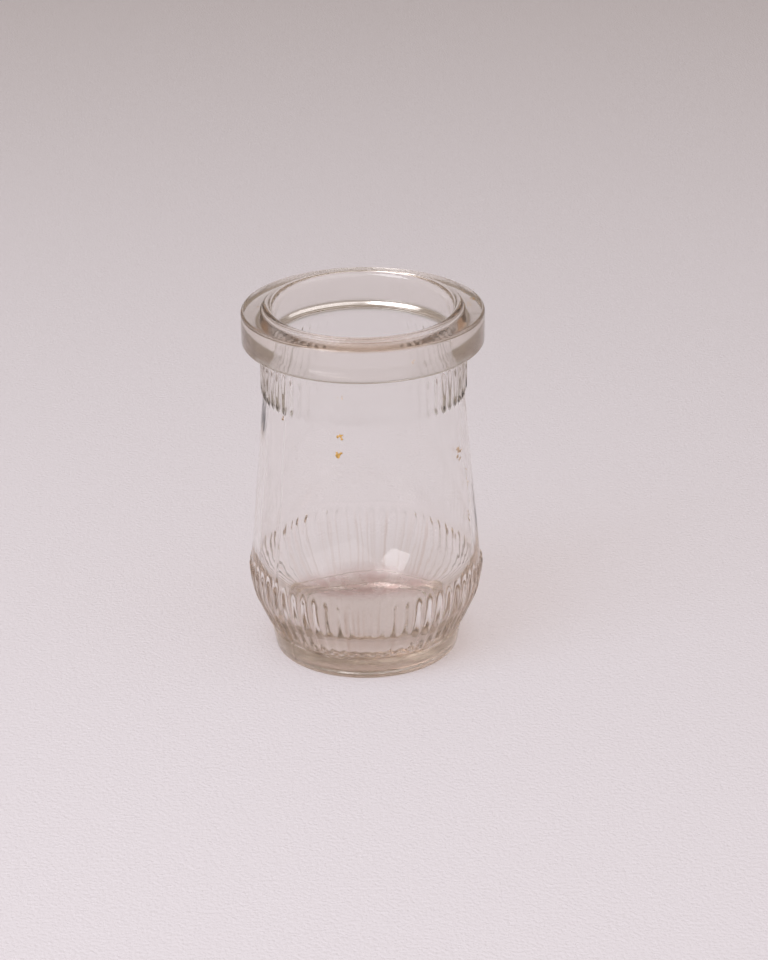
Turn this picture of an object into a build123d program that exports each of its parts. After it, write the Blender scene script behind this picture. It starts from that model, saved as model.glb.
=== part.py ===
"""Wide-mouth ink bottle: one piece of pressed and blown clear glass.

A round foot carries a ribbed belly, a plain tapering body, a ribbed neck and a
heavy flange with a raised lip around the mouth.  Millimetres, +Z up, origin at
the centre of the ring that the bottle stands on.
"""
import os
from math import atan, cos, degrees, tan

from build123d import *

os.makedirs("parts", exist_ok=True)

# Heights.
height = 68.7              # standing surface to the top of the lip
foot_height = 4.5          # standing surface to the groove above the foot
belly_height = 14.1        # standing surface to the corner that the belly is rounded from
neck_height = 9.3          # straight neck, from the body to the underside of the flange
flange_thickness = 6.5
lip_height = 0.75          # lip above the top of the flange
bore_depth = 6.7           # straight bore, from the top of the lip downwards
base_thickness = 4.8       # standing surface to the floor of the ink space
heel_rise = 2.6            # floor of the ink space to the corner of the heel, before rounding
kick_up = 0.35             # hollow under the foot, so that it stands on a ring

# Widths, each counted from the one before it.
bore_radius = 16.6         # mouth
neck_wall = 2.15           # bore to the outside of the neck, between its ribs
belly_swell = 3.5          # neck to the corner of the belly, before rounding
foot_inset = 3.9           # corner of the belly to the top of the foot
body_wall = 1.25
heel_inset = 5.2           # inside of the belly to the corner of the heel, before rounding
floor_inset = 2.8          # corner of the heel to the corner of the floor, before rounding
flange_overhang = 3.75     # flange beyond the neck
lip_width = 1.95           # bore to the outside of the lip
foot_taper = 0.75          # how far the foot draws in towards the standing surface
foot_groove = 0.35         # depth of the groove between foot and belly
standing_width = 3.4       # width of the ring that the foot stands on

# Ribs: shallow beads, the same number around the neck and around the belly.
rib_count = 60
rib_radius = 0.9
rib_proud = 0.3            # how far a rib stands out of the wall
neck_rib_length = 6.2
neck_rib_gap = 3.0         # plain neck between the flange and the ribs
belly_rib_bottom = 1.4     # ribs start this far above the groove
belly_rib_wrap = 0.7       # share of the belly's rounding that the ribs run around

# Roundings.
belly_rounding = 13.0
belly_inside_rounding = 16.0
neck_rounding = 5.0
flange_rounding = 0.85     # lower outer edge
rim_rounding = 0.6         # upper outer edge
flange_root = 0.9          # inside corner of neck and flange
lip_rounding = 0.5
mouth_rounding = 1.2       # inner edge of the lip, fire-polished
foot_rounding = 0.7
corner_rounding = 0.4      # inside corners, where two parts of the wall meet
floor_rounding = 5.0
heel_rounding = 15.0
shoulder_rounding = 3.0    # inside, where bore turns into body

flange_top = height - lip_height
flange_bottom = flange_top - flange_thickness
neck_bottom = flange_bottom - neck_height
bore_bottom = height - bore_depth

neck_radius = bore_radius + neck_wall
belly_radius = neck_radius + belly_swell
foot_radius = belly_radius - foot_inset
flange_radius = neck_radius + flange_overhang
lip_radius = bore_radius + lip_width
groove_radius = foot_radius - foot_groove
standing_radius = foot_radius - foot_taper
recess_radius = standing_radius - standing_width
inner_belly_radius = belly_radius - body_wall
heel_radius = inner_belly_radius - heel_inset
heel_height = base_thickness + heel_rise
floor_radius = heel_radius - floor_inset
rib_sink = rib_radius - rib_proud
rib_turn = 180 / rib_count  # the first rib stands half a pitch from the X axis

with BuildPart() as glass_bottle:
    # Outside: up from the centre of the underside, out to the lip and back to the axis.
    with BuildSketch(Plane.XZ) as outside:
        with BuildLine():
            skin = FilletPolyline(
                (0, kick_up),
                (recess_radius - kick_up, kick_up),
                (recess_radius, 0),
                (standing_radius, 0),
                (foot_radius, foot_height - foot_groove),
                (groove_radius, foot_height),
                (belly_radius, belly_height),
                (neck_radius, neck_bottom),
                (neck_radius, flange_bottom),
                (flange_radius, flange_bottom),
                (flange_radius, flange_top),
                (lip_radius, flange_top),
                (lip_radius, height),
                (0, height),
                radius=[
                    corner_rounding,
                    corner_rounding,
                    foot_rounding,
                    foot_groove / 2,
                    foot_groove / 2,
                    belly_rounding,
                    neck_rounding,
                    flange_root,
                    flange_rounding,
                    rim_rounding,
                    corner_rounding,
                    lip_rounding,
                ],
            )
            Line(skin @ 1, skin @ 0)
        make_face()
    revolve(axis=Axis.Z)

    # One rib of the neck: a straight bead with round ends, let into the wall.
    with BuildPart(mode=Mode.PRIVATE) as neck_rib:
        neck_rib_radius = neck_radius - rib_sink
        rib_top = flange_bottom - neck_rib_gap
        with BuildSketch(Plane.XZ):
            with Locations((neck_rib_radius, rib_top - neck_rib_length / 2)):
                SlotOverall(neck_rib_length, 2 * rib_radius, rotation=90)
            with Locations((neck_rib_radius - rib_radius, rib_top - neck_rib_length / 2)):
                Rectangle(2 * rib_radius, neck_rib_length, mode=Mode.SUBTRACT)
        rib_axis = Axis((neck_rib_radius, 0, 0), (0, 0, 1))
        revolve(axis=rib_axis)
    with PolarLocations(0, rib_count, start_angle=rib_turn):
        add(neck_rib.part)

    # One rib of the belly: the same bead, bent round the belly's own curve.
    with BuildPart(mode=Mode.PRIVATE) as belly_rib:
        body_slope = (neck_radius - belly_radius) / (neck_bottom - belly_height)
        belly_slope = (belly_radius - groove_radius) / (belly_height - foot_height)
        belly_turn = atan(belly_slope) - atan(body_slope)
        bend_drop = belly_rounding * tan(belly_turn / 2) * cos(atan(belly_slope))
        rib_start = (groove_radius + belly_slope * belly_rib_bottom - rib_sink, foot_height + belly_rib_bottom)
        rib_bend = (belly_radius - belly_slope * bend_drop - rib_sink, belly_height - bend_drop)
        with BuildLine(Plane.XZ) as rib_path:
            straight = Line(rib_start, rib_bend)
            bend = JernArc(rib_bend, (belly_slope, 1), belly_rounding, belly_rib_wrap * degrees(belly_turn))
        with BuildSketch(Plane(origin=straight @ 0, z_dir=straight % 0)):
            Circle(rib_radius)
        sweep(path=rib_path.wire())
        with Locations(straight @ 0, bend @ 1):
            Sphere(rib_radius)
    with PolarLocations(0, rib_count, start_angle=rib_turn):
        add(belly_rib.part)

    # Inside: the ink space and the mouth, cut last so that no rib reaches inside.
    with BuildSketch(Plane.XZ) as inside:
        with BuildLine():
            hollow = FilletPolyline(
                (0, base_thickness),
                (floor_radius, base_thickness),
                (heel_radius, heel_height),
                (inner_belly_radius, belly_height),
                (neck_radius - body_wall, neck_bottom),
                (bore_radius, bore_bottom),
                (bore_radius, height - mouth_rounding),
                radius=[
                    floor_rounding,
                    heel_rounding,
                    belly_inside_rounding,
                    shoulder_rounding,
                    shoulder_rounding,
                ],
            )
            flare = JernArc(hollow @ 1, (0, 1), mouth_rounding, -90)
            Polyline(flare @ 1, (0, height), hollow @ 0)
        make_face()
    revolve(axis=Axis.Z, mode=Mode.SUBTRACT)

glass_bottle.part.label = "glass_bottle"
export_step(glass_bottle.part, "parts/glass_bottle.step")
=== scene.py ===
from math import atan2, ceil, cos, hypot, pi, radians, sin, tan
from random import Random

import bmesh
import bpy
from mathutils import Matrix, Vector


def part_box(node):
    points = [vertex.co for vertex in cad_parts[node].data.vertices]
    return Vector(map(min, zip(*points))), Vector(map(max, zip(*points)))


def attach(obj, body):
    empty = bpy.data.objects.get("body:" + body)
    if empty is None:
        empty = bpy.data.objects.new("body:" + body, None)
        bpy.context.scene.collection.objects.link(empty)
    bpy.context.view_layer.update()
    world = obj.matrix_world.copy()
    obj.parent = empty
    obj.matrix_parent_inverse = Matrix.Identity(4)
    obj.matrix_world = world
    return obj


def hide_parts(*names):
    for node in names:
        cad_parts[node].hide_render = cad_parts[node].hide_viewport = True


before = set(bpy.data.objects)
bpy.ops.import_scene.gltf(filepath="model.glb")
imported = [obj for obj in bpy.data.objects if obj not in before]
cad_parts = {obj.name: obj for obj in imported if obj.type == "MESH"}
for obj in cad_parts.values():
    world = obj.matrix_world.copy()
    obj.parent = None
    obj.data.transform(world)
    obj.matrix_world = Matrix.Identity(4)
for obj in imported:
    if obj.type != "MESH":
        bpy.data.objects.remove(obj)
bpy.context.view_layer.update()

# ---------------------------------------------------------------------------
# The bottle: one piece of clear glass.  A gob is pressed in a ring mould, which
# makes flange, lip and mouth, and is then blown into the body mould, so that
# the inside is smooth and the outside has the mould's ribs and two fine seams.
# ---------------------------------------------------------------------------
mm = 0.001
low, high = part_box("glass_bottle")
height = high.z / mm
flange_radius = (high.x - low.x) / 2 / mm

lip_height, flange_thickness, neck_height, bore_depth = 0.75, 6.5, 9.3, 6.7
flange_top = height - lip_height
flange_bottom = flange_top - flange_thickness
neck_bottom = flange_bottom - neck_height

flange_overhang, neck_wall, body_wall, lip_width = 3.75, 2.15, 1.25, 1.95
neck_radius = flange_radius - flange_overhang
bore_radius = neck_radius - neck_wall
lip_radius = bore_radius + lip_width
lip_crest = bore_radius + 1.3    # where outside and inside meet, on top of the lip

belly_radius, belly_height = 22.25, 14.1
groove_radius, foot_height = 18.0, 4.5
foot_radius, foot_shoulder = 18.35, 4.25
standing_radius, recess_radius, kick_up = 17.6, 14.2, 0.35
heel_radius, heel_height = 15.8, 7.4
floor_radius, base_thickness = 13.0, 4.8

# Corners of the section: (radius, height, rounding of the corner).
outside_corners = [
    (0.0, kick_up, 0),
    (recess_radius - kick_up, kick_up, 0.4),
    (recess_radius, 0.0, 0.4),
    (standing_radius, 0.0, 0.2),
    (foot_radius, foot_shoulder, 0.12),
    (groove_radius, foot_height, 0.12),
    (belly_radius, belly_height, 13.0),
    (neck_radius, neck_bottom, 5.0),
    (neck_radius, flange_bottom, 0.9),
    (flange_radius, flange_bottom, 0.85),
    (flange_radius, flange_top, 0.6),
    (lip_radius, flange_top, 0.4),
    (lip_radius, height, 0.5),
    (lip_crest, height, 0),
]
inside_corners = [
    (lip_crest, height, 0),
    (bore_radius, height, 1.2),
    (bore_radius, height - bore_depth, 3.0),
    (neck_radius - body_wall, neck_bottom, 3.0),
    (belly_radius - body_wall, belly_height, 16.0),
    (heel_radius, heel_height, 15.0),
    (floor_radius, base_thickness, 5.0),
    (0.0, base_thickness, 0),
]

# Ribs: soft waves around two bands that stand a little proud of the wall.
rib_count = 60
steps_per_rib = 8
rib_proud, band_proud = 0.32, 0.08
rib_end = 1.4                    # length over which a rib fades out
groove_fade = 0.9                # height above the groove where ribs reach full strength
belly_band = (3.6, 16.7)
neck_band = (flange_bottom - 8.9, flange_bottom - 3.0)
belly_band_lift = 2.6            # the belly's ribs start this much higher at the back
body_middle = 30                 # ribs below this height are the belly's

seam_angle = radians(-140.5)     # the other seam is opposite
seam_height, faint_seam_height, seam_width = 0.10, 0.10 / 3, 0.35
seam_bottom, seam_gap = 1, 0.5

outside_wave, inside_wave = 0.03, 0.09
wavy_bottom, wavy_height = 18, 34


def clamped(value):
    return min(1, max(0, value))


def rounded_wire(bm, corners):
    """A wire through the section's corners in the XZ plane, with each corner rounded."""
    verts = [bm.verts.new((radius * mm, 0, up * mm)) for radius, up, _ in corners]
    for a, b in zip(verts, verts[1:]):
        bm.edges.new((a, b))
    points = [vert.co.copy() for vert in verts]
    for i in range(1, len(corners) - 1):
        turn = (points[i] - points[i - 1]).angle(points[i + 1] - points[i])
        rounding = corners[i][2]
        bmesh.ops.bevel(
            bm,
            geom=[verts[i]],
            offset=rounding * mm * tan(turn / 2),
            offset_type="OFFSET",
            segments=ceil(turn * (3.2 + 0.65 * rounding)),
            profile=0.5,
            affect="VERTICES",
            material=-1,
        )


def cut_into_rows(bm, spacing):
    """Halves the wire's edges until none is longer than spacing allows at its height."""
    while True:
        long_edges = []
        for edge in bm.edges:
            middle = (edge.verts[0].co.z + edge.verts[1].co.z) / 2 / mm
            if edge.calc_length() > spacing(middle) * mm:
                long_edges.append(edge)
        if not long_edges:
            return
        bmesh.ops.subdivide_edges(bm, edges=long_edges, cuts=1)


def outside_spacing(up):
    """Rows of the outside stand close together where the ribs end."""
    to_rib_end = min(abs(up - end) for end in belly_band + neck_band)
    return min(3.0, 0.5 + 0.7 * max(0, to_rib_end - 0.9))


def inside_spacing(up):
    """Rows of the smooth inside are the same everywhere."""
    return 2.6


def turned(corners, spacing):
    """A surface of revolution on the bottle's axis."""
    bm = bmesh.new()
    rounded_wire(bm, corners)
    cut_into_rows(bm, spacing)
    bmesh.ops.spin(
        bm,
        geom=bm.verts[:] + bm.edges[:],
        cent=(0, 0, 0),
        axis=(0, 0, 1),
        angle=2 * pi,
        steps=rib_count * steps_per_rib,
        use_merge=True,
    )
    return bm


def towards_back(angle):
    """Nothing at the front and the sides, and one at the back."""
    return clamped(sin(angle) / 0.4)


def rib_strength(angle, up):
    """The mould is worn: its ribs are strong at the sides and weaker at the back."""
    sideways = abs(cos(angle))
    at_back = towards_back(angle)
    if up < body_middle:
        off_front = clamped((sideways - 0.22) / 0.18)
        low_down = clamped((12 - up) / 4)
        strength = 0.8 + 0.35 * off_front * (1 - at_back) - 0.22 * at_back
        strength *= 1 - 0.5 * at_back * low_down
    else:
        at_side = clamped((sideways - 0.4) / 0.4)
        strength = 0.2 + 1.15 * at_side * (1 - 0.7 * at_back)
    return strength * (1 + 0.22 * sin(17.3 * angle + 0.8) + 0.12 * sin(29.1 * angle + 2.0))


def rib_rise(angle, up):
    """How far the ribs stand out of the wall at a point, in millimetres."""
    wave = (1 - cos(rib_count * angle)) / 2
    full = band_proud + rib_proud * rib_strength(angle, up) * wave
    lift = belly_band_lift * towards_back(angle) if up < body_middle else 0
    rise = 0
    for start, end in (belly_band, neck_band):
        inward = min(up - start - lift, end - up) + rib_end * (wave - 0.5)
        fade = clamped(inward / rib_end + 0.5)
        rise = max(rise, fade * fade * (3 - 2 * fade) * full)
    return rise * clamped((up - foot_height) / groove_fade)


def seam_rise(angle, radius, up):
    """The fine ridge where the two halves of the mould met, on opposite sides of the body."""
    if not seam_bottom < up < flange_bottom - seam_gap:
        return 0
    turns = [angle - seam_angle, angle - seam_angle - pi]
    away = min(abs(atan2(sin(turn), cos(turn))) for turn in turns) * radius
    ridge = seam_height if sin(angle) < 0 else faint_seam_height
    return ridge * max(0, 1 - (away / seam_width) ** 2)


def blown_wave(angle, up):
    """The slow unevenness of a blown wall, from about -1 to 1."""
    wave = sin(2 * angle + 0.11 * up + 0.7)
    wave += 0.6 * sin(5 * angle - 0.23 * up + 2.1)
    wave += 0.35 * sin(9 * angle + 0.31 * up)
    return wave / 2


def push_out(vert, angle, rise):
    """Moves a point of the wall away from the axis, by a rise in millimetres."""
    vert.co.x += rise * mm * cos(angle)
    vert.co.y += rise * mm * sin(angle)


def put_in_order(items, key):
    """Gives merged points or faces the same order on every run."""
    for index, item in enumerate(sorted(items, key=key)):
        item.index = index
    items.sort()


outside = turned(outside_corners, outside_spacing)
mould_side = outside.verts.layers.float.new("mould_side")
for vert in outside.verts:
    vert[mould_side] = 1
    radius, up = hypot(vert.co.x, vert.co.y) / mm, vert.co.z / mm
    if radius < 17 or up > flange_bottom - 0.3:
        continue
    angle = atan2(vert.co.y, vert.co.x)
    rise = rib_rise(angle, up) + seam_rise(angle, radius, up)
    if wavy_bottom < up < wavy_bottom + wavy_height:
        swell = max(0, sin(pi * (up - wavy_bottom) / wavy_height))
        rise += outside_wave * blown_wave(angle + 1, up) * swell
    push_out(vert, angle, rise)

inside = turned(inside_corners, inside_spacing)
for vert in inside.verts:
    radius, up = hypot(vert.co.x, vert.co.y) / mm, vert.co.z / mm
    angle = atan2(vert.co.y, vert.co.x)
    fade = clamped((flange_bottom - 2 - up) / 8) * min(1, radius / 10)
    push_out(vert, angle, inside_wave * blown_wave(angle, up) * fade)

inside_mesh = bpy.data.meshes.new("inside")
inside.to_mesh(inside_mesh)
inside.free()
outside.from_mesh(inside_mesh)
bpy.data.meshes.remove(inside_mesh)
bmesh.ops.remove_doubles(outside, verts=outside.verts[:], dist=0.002 * mm)
bmesh.ops.recalc_face_normals(outside, faces=outside.faces[:])
put_in_order(outside.verts, lambda vert: vert.co[:])
put_in_order(outside.faces, lambda face: sorted(vert.index for vert in face.verts))
for face in outside.faces:
    face.smooth = True
bottle_mesh = bpy.data.meshes.new("glass_bottle_blown")
outside.to_mesh(bottle_mesh)
outside.free()
bottle = bpy.data.objects.new("glass_bottle_blown", bottle_mesh)
bpy.context.collection.objects.link(bottle)


# These functions make nodes in the tree that nodes and links were last set to.
def feed(socket, value):
    """Links another node's output to a socket, or gives it a plain value."""
    if isinstance(value, bpy.types.NodeSocket):
        links.new(value, socket)
    else:
        socket.default_value = value


def worked_out(operation, *values):
    """The result of a Math node."""
    made = nodes.new("ShaderNodeMath")
    made.operation = operation
    for socket, value in zip(made.inputs, values):
        feed(socket, value)
    return made.outputs["Value"]


def product(first, *others):
    """All the values multiplied together."""
    for other in others:
        first = worked_out("MULTIPLY", first, other)
    return first


def rising(value, start, end, least=0.0, most=1.0):
    """Goes from least to most while the value goes from start to end."""
    made = nodes.new("ShaderNodeMapRange")
    feed(made.inputs["Value"], value)
    made.inputs["From Min"].default_value = start
    made.inputs["From Max"].default_value = end
    made.inputs["To Min"].default_value = least
    made.inputs["To Max"].default_value = most
    return made.outputs["Result"]


def speckle(vector, scale, detail):
    """The value of a noise texture."""
    made = nodes.new("ShaderNodeTexNoise")
    feed(made.inputs["Vector"], vector)
    made.inputs["Scale"].default_value = scale
    made.inputs["Detail"].default_value = detail
    return made.outputs["Fac"]


def mixed(share, colour, other):
    """A colour with a share of another in it."""
    made = nodes.new("ShaderNodeMix")
    made.data_type = "RGBA"
    feed(made.inputs["Factor"], share)
    feed(made.inputs["A"], colour)
    feed(made.inputs["B"], other)
    return made.outputs["Result"]


glass = bpy.data.materials.new("pressed_clear_glass")
glass.use_nodes = True
nodes, links = glass.node_tree.nodes, glass.node_tree.links
shader, output = nodes["Principled BSDF"], nodes["Material Output"]

# Where a point of the glass is: towards the back, upwards, and away from the axis.
place = nodes.new("ShaderNodeTexCoord").outputs["Object"]
split = nodes.new("ShaderNodeSeparateXYZ")
links.new(place, split.inputs["Vector"])
backward, upward = split.outputs["Y"], split.outputs["Z"]
flat = nodes.new("ShaderNodeVectorMath")
flat.operation = "MULTIPLY"
flat.inputs[1].default_value = (1, 1, 0)
links.new(place, flat.inputs[0])
reach = nodes.new("ShaderNodeVectorMath")
reach.operation = "LENGTH"
links.new(flat.outputs["Vector"], reach.inputs[0])
outward = reach.outputs["Value"]
direction = nodes.new("ShaderNodeVectorMath")
direction.operation = "NORMALIZE"
links.new(flat.outputs["Vector"], direction.inputs[0])

# Grime lies on the front of the flange's top.
to_front = rising(backward, -14 * mm, -20 * mm)
on_top = rising(upward, (flange_top - 0.5) * mm, (flange_top - 0.1) * mm)
colour = mixed(product(to_front, on_top), (1, 1, 1, 1), (0.66, 0.52, 0.40, 1))

# Painted shade: the back of the inner floor is painted a darker pinkish brown in blotches, standing
# in for the shade seen through the base there, and that part is also duller.
within_heel = rising(outward, 17.2 * mm, 15.5 * mm)
on_floor = rising(upward, 8.6 * mm, 6.0 * mm)
at_back = rising(backward, 1 * mm, 8 * mm)
patchy = rising(speckle(place, 330, 4), 0.3, 0.6, 0.35, 1)
back_floor_shade = product(within_heel, on_floor, at_back, patchy)
colour = mixed(back_floor_shade, colour, (0.62, 0.44, 0.43, 1))

# The mould dragged fine upright lines down the belly, and they hold dust.
drag = speckle(direction.outputs["Vector"], 24, 3)
below_body = rising(upward, 17.5 * mm, 14.5 * mm, 0, 3)
above_groove = rising(upward, foot_height * mm, (foot_height + 0.8) * mm)
moulded = nodes.new("ShaderNodeAttribute")
moulded.attribute_name = "mould_side"
dragged = product(below_body, above_groove, moulded.outputs["Fac"])
dust = product(rising(drag, 0.48, 0.68, 0, 0.33), dragged)
links.new(mixed(dust, colour, (0.76, 0.66, 0.60, 1)), shader.inputs["Base Color"])

# The flange is worn and the foot is scuffed, while the lip is still bright.
beyond_lip = rising(outward, (lip_radius - 0.1) * mm, (lip_radius + 0.3) * mm)
flange_wear = rising(upward, (flange_bottom - 0.3) * mm, flange_bottom * mm, 0, 0.08)
top_wear = rising(upward, (flange_top - 0.6) * mm, (flange_top - 0.1) * mm, 0, 0.08)
worn = product(worked_out("ADD", flange_wear, top_wear), beyond_lip)
beyond_recess = rising(outward, 13.5 * mm, 15.0 * mm)
below_groove = rising(upward, 5.0 * mm, 4.0 * mm)
foot_ring = product(beyond_recess, below_groove)
# The back of the inner floor, where shade is painted, is also rougher.
roughness = worked_out("MULTIPLY_ADD", back_floor_shade, 0.35, worn)
roughness = worked_out("MULTIPLY_ADD", foot_ring, 0.12, roughness)
links.new(roughness, shader.inputs["Roughness"])

# The skin ripples, most of all low down.
stretch = nodes.new("ShaderNodeMapping")
stretch.inputs["Scale"].default_value = (1, 1, 0.3)
links.new(place, stretch.inputs["Vector"])
ripple = speckle(stretch.outputs["Vector"], 260, 2)
bump = nodes.new("ShaderNodeBump")
bump.inputs["Distance"].default_value = 0.0003
links.new(rising(upward, 13 * mm, 7 * mm, 0.12, 0.3), bump.inputs["Strength"])
links.new(worked_out("MULTIPLY_ADD", drag, dragged, ripple), bump.inputs["Height"])
links.new(bump.outputs["Normal"], shader.inputs["Normal"])

# Clear glass with a faint warm tint in its depth.
shader.inputs["IOR"].default_value = 1.52
shader.inputs["Transmission Weight"].default_value = 1.0
tint = nodes.new("ShaderNodeVolumeAbsorption")
tint.inputs["Color"].default_value = (0.65, 0.50, 0.34, 1)
tint.inputs["Density"].default_value = 30
links.new(tint.outputs["Volume"], output.inputs["Volume"])

# Light on its way to the floor passes straight through, a little weaker at the foot.
rays = nodes.new("ShaderNodeLightPath")
straight = worked_out("MAXIMUM", rays.outputs["Is Shadow Ray"], rays.outputs["Is Diffuse Ray"])
clear = nodes.new("ShaderNodeBsdfTransparent")
links.new(mixed(foot_ring, (0.965, 0.955, 0.95, 1), (0.84, 0.80, 0.77, 1)), clear.inputs["Color"])
either = nodes.new("ShaderNodeMixShader")
links.new(straight, either.inputs["Fac"])
links.new(shader.outputs["BSDF"], either.inputs[1])
links.new(clear.outputs["BSDF"], either.inputs[2])
links.new(either.outputs["Shader"], output.inputs["Surface"])
bottle_mesh.materials.append(glass)

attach(bottle, "root")
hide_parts("glass_bottle")

# ---------------------------------------------------------------------------
# Dried ink: what is left of the last filling and of dripping pens.  It stuck to
# the glass as ochre crumbs on the front wall and the flange, as a tan trail
# down the right side, and as brown crusts on the flange and beside the seam.
# ---------------------------------------------------------------------------
crumb_thickness = 0.22           # share of a crumb's width
crumb_unevenness = 0.12          # share of half a crumb's width
crumb_lift = 0.06                # above the smooth wall, because of its slow waves


def wall_radius(up):
    """Radius of the outside of the body between the belly and the flange."""
    if up > neck_bottom:
        return neck_radius
    slope = (neck_radius - belly_radius) / (neck_bottom - belly_height)
    return belly_radius + slope * (up - belly_height)


def crumbs(bm, chance, around, up, out, spread, count, size, lying=False):
    """Flattened crumbs scattered about a point of the wall, or lying on the flange."""
    for _ in range(count):
        angle = radians(around) + chance.gauss(0, spread[0]) / out
        away = chance.gauss(0, spread[1])
        if lying:
            radius, at_height = out + away, up
        elif up > flange_bottom:
            radius, at_height = out, up + away
        else:
            radius, at_height = wall_radius(up + away) + crumb_lift, up + away
        outward = Vector((cos(angle), sin(angle), 0))
        normal = Vector((0, 0, 1)) if lying else outward
        turn = normal.to_track_quat("Z", "Y").to_matrix().to_4x4()
        turn = turn @ Matrix.Rotation(chance.uniform(0, 2 * pi), 4, "Z")
        grow = size * chance.uniform(0.5, 1.0) * mm
        stretch = Matrix.Diagonal((grow * chance.uniform(0.6, 1.3), grow, grow * crumb_thickness, 1))
        place = Matrix.Translation((outward * radius + Vector((0, 0, at_height))) * mm)
        made = bmesh.ops.create_icosphere(bm, subdivisions=2, radius=1, matrix=place @ turn @ stretch)
        for vert in made["verts"]:
            vert.co += normal * grow * crumb_unevenness * chance.uniform(-1, 1)


# The mottle that all dried ink has: small blotches of a dark and a light shade.
mottle = bpy.data.node_groups.new("dried_ink_mottle", "ShaderNodeTree")
mottle.interface.new_socket("Place", in_out="INPUT", socket_type="NodeSocketVector")
mottle.interface.new_socket("Dark", in_out="INPUT", socket_type="NodeSocketColor")
mottle.interface.new_socket("Light", in_out="INPUT", socket_type="NodeSocketColor")
mottle.interface.new_socket("Color", in_out="OUTPUT", socket_type="NodeSocketColor")
nodes, links = mottle.nodes, mottle.links
given = nodes.new("NodeGroupInput").outputs
blotches = rising(speckle(given["Place"], 2500, 2), 0.35, 0.65)
shade = mixed(blotches, given["Dark"], given["Light"])
links.new(shade, nodes.new("NodeGroupOutput").inputs["Color"])
dark_shade = 0.55                # brightness of the dark blotches

# Spots: (angle, height, radius, spread around and away, count, size, whether it lies flat).
chance = Random(7)
crusts = {
    "dried_ink_ochre": (
        (0.86, 0.52, 0.15, 1),
        [
            (-103.1, 49.8, 19.0, (0.22, 0.3), 8, 0.26, False),
            (-104.1, 46.5, 19.3, (0.3, 0.28), 12, 0.30, False),
            (-103.6, 57.4, 18.9, (0.6, 0.2), 3, 0.12, False),
            (2.0, flange_top, 19.6, (0.5, 0.4), 6, 0.16, True),
            (-67.4, 65.0, flange_radius, (0.3, 0.3), 3, 0.12, False),
        ],
    ),
    "dried_ink_tan": (
        (0.84, 0.64, 0.46, 1),
        [
            (-28.0, 42.4, 19.7, (0.55, 0.55), 14, 0.34, False),
            (-20.2, 36.0, 20.2, (0.25, 1.6), 12, 0.18, False),
            (-22.1, 28.9, 20.9, (0.2, 0.8), 8, 0.20, False),
        ],
    ),
    "dried_ink_brown": (
        (0.47, 0.31, 0.18, 1),
        [
            (-141.2, 51.0, 18.9, (0.12, 0.7), 8, 0.20, False),
            (178.0, flange_top, 19.5, (0.16, 0.16), 3, 0.22, True),
            (9.8, flange_top, 20.9, (0.35, 0.3), 9, 0.24, True),
            (20.0, flange_top, 20.6, (0.8, 0.5), 8, 0.14, True),
        ],
    ),
}
for name, (colour, spots) in crusts.items():
    bm = bmesh.new()
    for around, up, out, spread, count, size, lying in spots:
        crumbs(bm, chance, around, up, out, spread, count, size, lying)
    bmesh.ops.recalc_face_normals(bm, faces=bm.faces[:])
    for face in bm.faces:
        face.smooth = True
    mesh = bpy.data.meshes.new(name)
    bm.to_mesh(mesh)
    bm.free()
    crust = bpy.data.objects.new(name, mesh)
    bpy.context.collection.objects.link(crust)
    ink = bpy.data.materials.new(name)
    ink.use_nodes = True
    nodes, links = ink.node_tree.nodes, ink.node_tree.links
    shader = nodes["Principled BSDF"]
    shader.inputs["Roughness"].default_value = 0.75
    mottled = nodes.new("ShaderNodeGroup")
    mottled.node_tree = mottle
    mottled.inputs["Dark"].default_value = [dark_shade * c for c in colour[:3]] + [1]
    mottled.inputs["Light"].default_value = colour
    links.new(nodes.new("ShaderNodeTexCoord").outputs["Object"], mottled.inputs["Place"])
    links.new(mottled.outputs["Color"], shader.inputs["Base Color"])
    mesh.materials.append(ink)
    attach(crust, "root")

# ---------------------------------------------------------------------------
# The floor: a board with pale paint that a roller left with a fine texture.
# The bottle stands a hair above it, so that glass and paint share no face.
# ---------------------------------------------------------------------------
floor_half_width = 3.0
floor_gap = 0.02
bm = bmesh.new()
under_foot = Matrix.Translation((0, 0, -floor_gap * mm))
bmesh.ops.create_grid(bm, x_segments=1, y_segments=1, size=floor_half_width, matrix=under_foot)
floor_mesh = bpy.data.meshes.new("floor")
bm.to_mesh(floor_mesh)
bm.free()
floor = bpy.data.objects.new("floor", floor_mesh)
bpy.context.collection.objects.link(floor)
board = bpy.data.materials.new("rolled_paint")
board.use_nodes = True
nodes, links = board.node_tree.nodes, board.node_tree.links
shader = nodes["Principled BSDF"]
shader.inputs["Base Color"].default_value = (0.80, 0.771, 0.812, 1)
shader.inputs["Roughness"].default_value = 0.7
bump = nodes.new("ShaderNodeBump")
bump.inputs["Strength"].default_value = 0.8
bump.inputs["Distance"].default_value = 0.0003
grain = speckle(nodes.new("ShaderNodeTexCoord").outputs["Object"], 1500, 2)
links.new(grain, bump.inputs["Height"])
links.new(bump.outputs["Normal"], shader.inputs["Normal"])
floor_mesh.materials.append(board)

# ---------------------------------------------------------------------------
# Light: two softboxes above, a narrow one at the camera's left and a wide one
# at its right, both aimed at the bottle's middle, in a room of plain warm grey.
# ---------------------------------------------------------------------------
softbox_away = 0.95
softbox_colour = (0.95, 0.945, 1)


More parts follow.
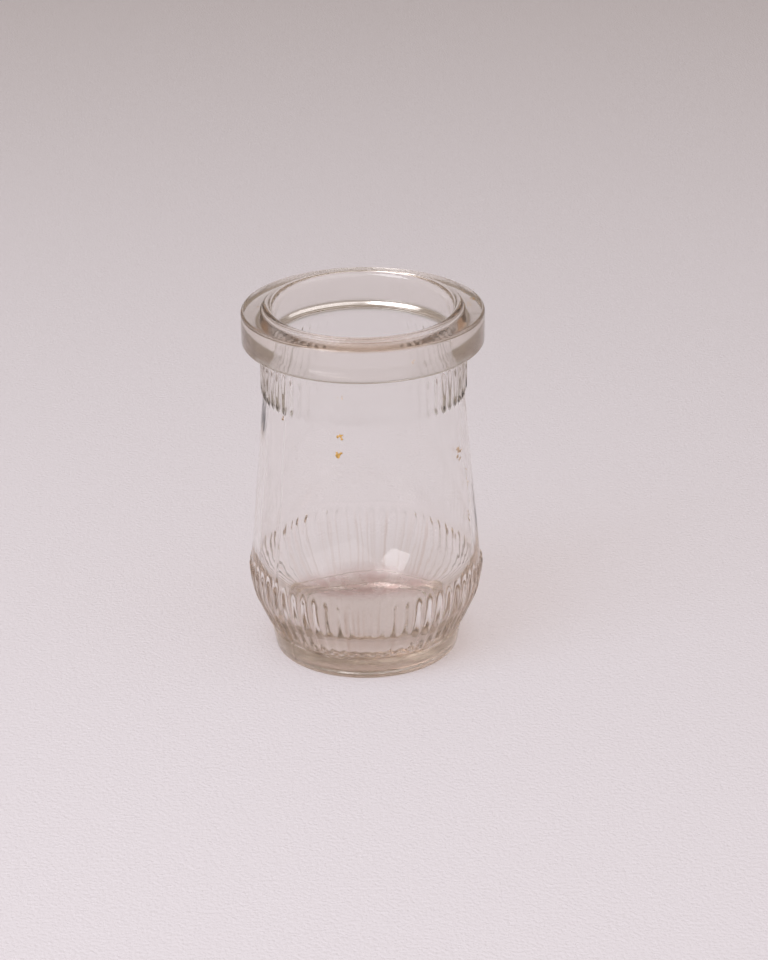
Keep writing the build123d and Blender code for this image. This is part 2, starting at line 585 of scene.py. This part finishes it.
def softbox(name, around, up, size, watts):
    """A rectangular lamp; around is counted from the camera's side, to the right."""
    data = bpy.data.lights.new(name, "AREA")
    data.shape = "RECTANGLE"
    data.size, data.size_y = size
    data.energy = watts
    data.color = softbox_colour
    lamp = bpy.data.objects.new(name, data)
    a, e = radians(around), radians(up)
    towards = Vector((sin(a) * cos(e), -cos(a) * cos(e), sin(e)))
    lamp.location = Vector((0, 0, height / 2 * mm)) + towards * softbox_away
    lamp.rotation_mode = "QUATERNION"
    lamp.rotation_quaternion = towards.to_track_quat("Z", "Y")
    bpy.context.collection.objects.link(lamp)


softbox("softbox_left", -50, 54, (0.475, 0.82), 6.35)
softbox("softbox_right", 48, 52, (1.3, 0.95), 3.75)
world = bpy.data.worlds.new("room")
bpy.context.scene.world = world
world.use_nodes = True
world.cycles.sampling_method = "MANUAL"
nodes, links = world.node_tree.nodes, world.node_tree.links
split = nodes.new("ShaderNodeSeparateXYZ")
walls = nodes.new("ShaderNodeValToRGB")
walls.color_ramp.elements[0].position = 0.05
walls.color_ramp.elements[0].color = (0.43, 0.385, 0.355, 1)
walls.color_ramp.elements[1].position = 0.8
walls.color_ramp.elements[1].color = (0.235, 0.18, 0.125, 1)
links.new(nodes.new("ShaderNodeTexCoord").outputs["Generated"], split.inputs["Vector"])
links.new(split.outputs["Z"], walls.inputs["Fac"])
links.new(walls.outputs["Color"], nodes["Background"].inputs["Color"])

# ---------------------------------------------------------------------------
# Camera: a long lens, looking down at the bottle from the front.  It points a
# little to the right of the axis and leans by about half a degree.
# ---------------------------------------------------------------------------
elevation, distance = radians(24.14), 0.4928
aim_height, aim_right, lean = 0.033, 0.00362, radians(-0.56)
lens = bpy.data.cameras.new("camera")
lens.sensor_width = 36
lens.lens = 97.5
lens.clip_end = 10
camera = bpy.data.objects.new("camera", lens)
bpy.context.collection.objects.link(camera)
aim = Vector((0, 0, aim_height))
camera.location = aim + distance * Vector((0, -cos(elevation), sin(elevation)))
sight = aim + Vector((aim_right, 0, 0)) - camera.location
camera.rotation_mode = "QUATERNION"
leaning = Matrix.Rotation(lean, 3, "Z").to_quaternion()
camera.rotation_quaternion = sight.to_track_quat("-Z", "Y") @ leaning
bpy.context.scene.camera = camera
bpy.context.scene.view_settings.view_transform = "Standard"
cycles = bpy.context.scene.cycles
cycles.max_bounces = 32
cycles.transmission_bounces = 32
cycles.glossy_bounces = 16
cycles.caustics_reflective = False
cycles.caustics_refractive = False
